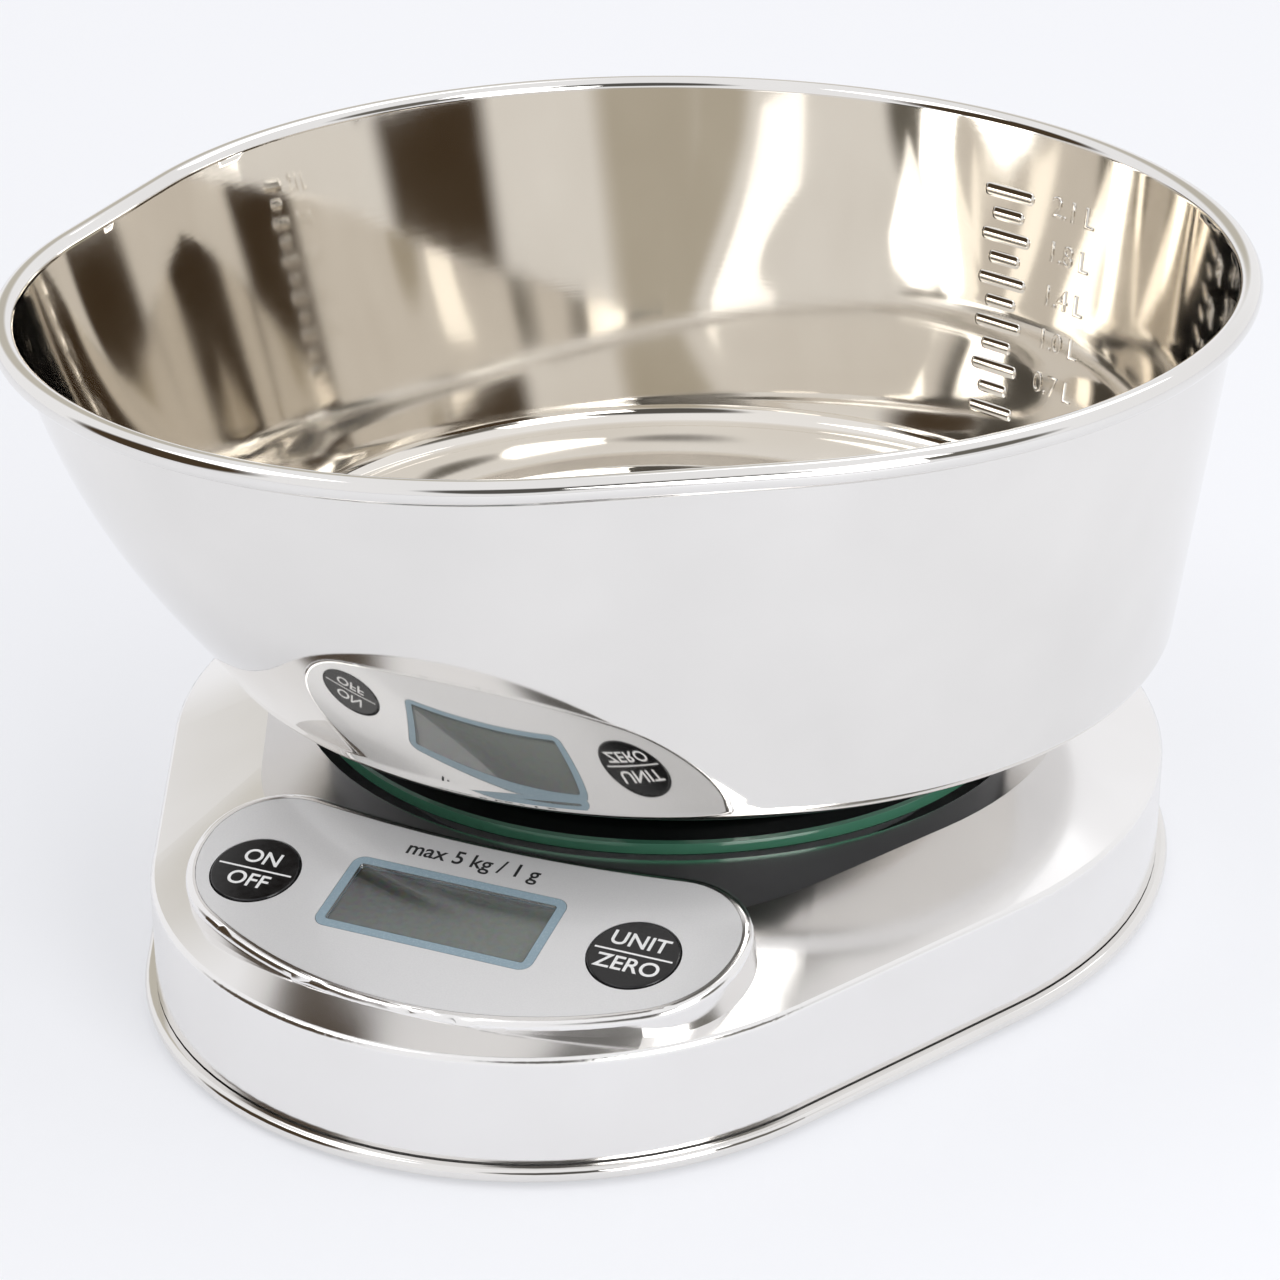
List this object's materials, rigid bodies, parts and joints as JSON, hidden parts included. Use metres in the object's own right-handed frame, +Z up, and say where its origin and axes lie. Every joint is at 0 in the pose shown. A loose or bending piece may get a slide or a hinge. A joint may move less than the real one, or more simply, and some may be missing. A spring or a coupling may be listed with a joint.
{
  "type": "kitchen scale",
  "caption": "Kitchen scale: polished steel bowl on a round glass platform, egg-shaped housing, sloping control pod with display and push buttons, battery door below.",
  "frame": {"origin": "under the middle of the bounding box, at the level of the feet; the axis of the round platform stands 12.5 mm behind it", "axes": "+Z up, +X to the right of someone reading the display, +Y to the back"},
  "size_m": [0.2304, 0.2554, 0.13],
  "materials": {
    "polished_steel": "mirror polished",
    "screw_steel": "zinc plated",
    "grey_abs": "fine matt texture",
    "black_silicone": "satin",
    "black_rubber": "matt",
    "foam_pad": "matt",
    "aluminium": "milled",
    "float_glass": "polished, green edge",
    "lcd_glass": "polished",
    "printed_panel": "printed, glossy",
    "blue_frame": "glossy",
    "clear_acrylic": "clear, polished",
    "black_buttons": "glossy",
    "green_board": "solder mask",
    "switch_plastic": "matt",
    "battery_jacket": "glossy jacket",
    "contact_metal": "nickel plated"
  },
  "bodies": {
    "base": {"housing_skin": "polished_steel", "foot_bead": "polished_steel", "inner_frame": "grey_abs", "base_plate": "grey_abs", "rubber_feet": "black_rubber", "housing_screws": "screw_steel", "load_cell": "aluminium", "fixed_spacer": "screw_steel", "cell_screws": "screw_steel", "control_panel": "printed_panel", "lcd_frame": "blue_frame", "lcd_window": "clear_acrylic", "lcd_cell": "lcd_glass", "contact_strip": "black_rubber", "circuit_board": "green_board", "push_switches": "switch_plastic", "board_screws": "screw_steel", "batteries": "battery_jacket", "battery_contacts": "contact_metal"},
    "platform": {"loaded_spacer": "screw_steel", "platform_carrier": "grey_abs", "carrier_screws": "screw_steel", "glass_pads": "foam_pad", "platform_glass": "float_glass"},
    "bowl_set": {"bowl": "polished_steel", "bowl_base": "black_silicone"},
    "left_key": {"left_button": "black_buttons"},
    "right_key": {"right_button": "black_buttons"},
    "door": {"battery_door": "grey_abs"}
  },
  "joints": [
    {"name": "platform_travel", "type": "slide", "parent": "base", "child": "platform", "axis": [0, 0, 1], "range_m": [-0.0006, 0], "stiffness_N_per_m": 80000, "deforming": ["load_cell"]},
    {"name": "bowl_lift", "type": "slide", "parent": "platform", "child": "bowl_set", "axis": [0, 0, 1], "range_m": [0, 0.15]},
    {"name": "left_press", "type": "slide", "parent": "base", "child": "left_key", "axis": [0, 0.2436, -0.9699], "range_m": [0, 0.0003], "stiffness_N_per_m": 4000},
    {"name": "right_press", "type": "slide", "parent": "base", "child": "right_key", "axis": [0, 0.2436, -0.9699], "range_m": [0, 0.0003], "stiffness_N_per_m": 4000},
    {"name": "door_hinge", "type": "hinge", "parent": "base", "child": "door", "pos_m": [0, 0.04385, 0.0024], "axis": [-1, 0, 0], "range_deg": [0, 80]}
  ]
}
